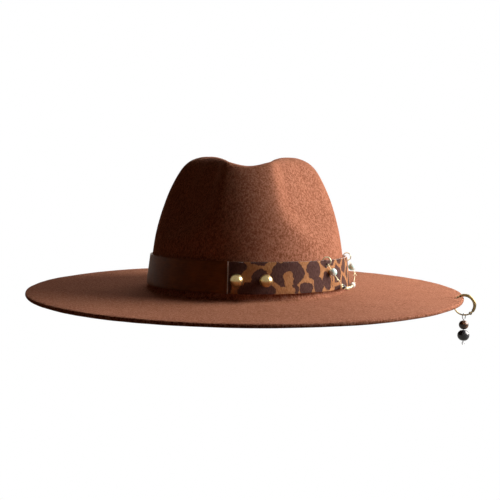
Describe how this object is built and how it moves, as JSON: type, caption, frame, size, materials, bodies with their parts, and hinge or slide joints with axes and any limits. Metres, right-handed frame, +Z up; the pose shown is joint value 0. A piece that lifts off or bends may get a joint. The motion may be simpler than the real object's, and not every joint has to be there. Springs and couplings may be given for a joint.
{
  "type": "wide-brim fedora hat",
  "caption": "Wide flat-brim felt hat with creased crown, leather band, leopard hide strap, studs, beaded swag and a hinged hoop charm.",
  "frame": {"origin": "centre of the head opening, level with the underside of the flat brim", "axes": "+Z up through the crown, -Y the front of the hat, +X to the right as one faces the front"},
  "size_m": [0.383, 0.414, 0.1564],
  "materials": {
    "felt": "rust-brown wool felt with a short raised nap, matt, cut brim edge",
    "band_leather": "smooth brown bridle leather, low sheen, dark cut edges",
    "sweat_leather": "thin dark brown sweatband leather, stitched at its lower edge",
    "leopard_hide": "short-haired hide printed with dark brown leopard rosettes, pale cut edge",
    "brass": "polished solid brass",
    "pale_gold": "pale gold-plated wire, bright",
    "antique_brass": "antiqued brass, satin, darker in the recesses",
    "steel": "bright steel wire",
    "amazonite": "milky blue-green stone, waxy polish",
    "pearl": "off-white pearl, soft lustre",
    "dark_stone": "dark grey stone, polished, faint blue highlight",
    "banded_stone": "brown banded stone, polished"
  },
  "bodies": {
    "hat": {"felt_body": "felt", "sweatband": "sweat_leather", "leather_hatband": "band_leather", "leopard_strap": "leopard_hide", "ball_stud_front_left": "brass", "stud_screw_front_left": "brass", "ball_stud_front_right": "brass", "stud_screw_front_right": "brass", "rivet_cap_rear_left": "brass", "rivet_post_rear_left": "brass", "rivet_cap_rear_right": "brass", "rivet_post_rear_right": "brass"},
    "swag": {"ring_front": "pale_gold", "ring_side": "pale_gold", "swag_connector_front": "pale_gold", "swag_connector_side": "pale_gold", "amazonite_front_pin": "pale_gold", "spinel_pin": "pale_gold", "gold_bead_1_pin": "pale_gold", "gold_bead_2_pin": "pale_gold", "gold_bead_3_pin": "pale_gold", "pearl_pin": "pale_gold", "amazonite_side_pin": "pale_gold"},
    "amazonite_front": {"amazonite_front_bead": "amazonite"},
    "spinel": {"spinel_bead": "dark_stone"},
    "gold_bead_1": {"gold_bead_1_bead": "pale_gold"},
    "gold_bead_2": {"gold_bead_2_bead": "pale_gold"},
    "gold_bead_3": {"gold_bead_3_bead": "pale_gold"},
    "pearl": {"pearl_bead": "pearl"},
    "amazonite_side": {"amazonite_side_bead": "amazonite"},
    "hoop": {"hoop_wire": "antique_brass", "hoop_hinge_pin": "steel"},
    "bow": {"hoop_bow": "antique_brass"},
    "charm": {"charm_pin": "steel"},
    "brown_bead": {"charm_brown_bead": "banded_stone"},
    "dark_bead": {"charm_dark_bead": "dark_stone"}
  },
  "joints": [
    {"name": "swag_swing", "type": "hinge", "parent": "hat", "child": "swag", "pos_m": [0.0643, -0.07279, 0.03321], "axis": [-0.3494, -0.9369, 0.0143], "range_deg": [0, 85]},
    {"name": "amazonite_front_spin", "type": "hinge", "parent": "swag", "child": "amazonite_front", "pos_m": [0.06973, -0.07261, 0.02438], "axis": [0.5467, 0.1192, -0.8288], "continuous": true},
    {"name": "spinel_spin", "type": "hinge", "parent": "swag", "child": "spinel", "pos_m": [0.07998, -0.06016, 0.0111], "axis": [0.434, 0.8325, -0.3444], "continuous": true},
    {"name": "gold_bead_1_spin", "type": "hinge", "parent": "swag", "child": "gold_bead_1", "pos_m": [0.08341, -0.05291, 0.0091], "axis": [0.3876, 0.9132, -0.1257], "continuous": true},
    {"name": "gold_bead_2_spin", "type": "hinge", "parent": "swag", "child": "gold_bead_2", "pos_m": [0.0864, -0.04558, 0.00845], "axis": [0.3648, 0.9303, -0.0378], "continuous": true},
    {"name": "gold_bead_3_spin", "type": "hinge", "parent": "swag", "child": "gold_bead_3", "pos_m": [0.08913, -0.0381, 0.0084], "axis": [0.3195, 0.9473, 0.025], "continuous": true},
    {"name": "pearl_spin", "type": "hinge", "parent": "swag", "child": "pearl", "pos_m": [0.09183, -0.02912, 0.00915], "axis": [0.2635, 0.9572, 0.1199], "continuous": true},
    {"name": "amazonite_side_spin", "type": "hinge", "parent": "swag", "child": "amazonite_side", "pos_m": [0.09331, -0.01013, 0.02336], "axis": [-0.3039, 0.537, 0.7869], "continuous": true},
    {"name": "hoop_swivel", "type": "hinge", "parent": "hat", "child": "hoop", "pos_m": [0.17384, -0.05935, 0.0017], "axis": [0, 0, 1], "range_deg": [-45, 45]},
    {"name": "bow_hinge", "type": "hinge", "parent": "hoop", "child": "bow", "pos_m": [0.18546, -0.06267, -0.00934], "axis": [0.2746, 0.9615, 0], "range_deg": [0, 70]},
    {"name": "charm_swing", "type": "hinge", "parent": "hoop", "child": "charm", "pos_m": [0.18055, -0.06127, -0.0111], "axis": [0.9615, -0.2746, 0], "range_deg": [-60, 60]},
    {"name": "brown_bead_spin", "type": "hinge", "parent": "charm", "child": "brown_bead", "pos_m": [0.18055, -0.06127, -0.01935], "axis": [0, 0, 1], "continuous": true},
    {"name": "dark_bead_spin", "type": "hinge", "parent": "charm", "child": "dark_bead", "pos_m": [0.18055, -0.06127, -0.0281], "axis": [0, 0, 1], "continuous": true}
  ]
}
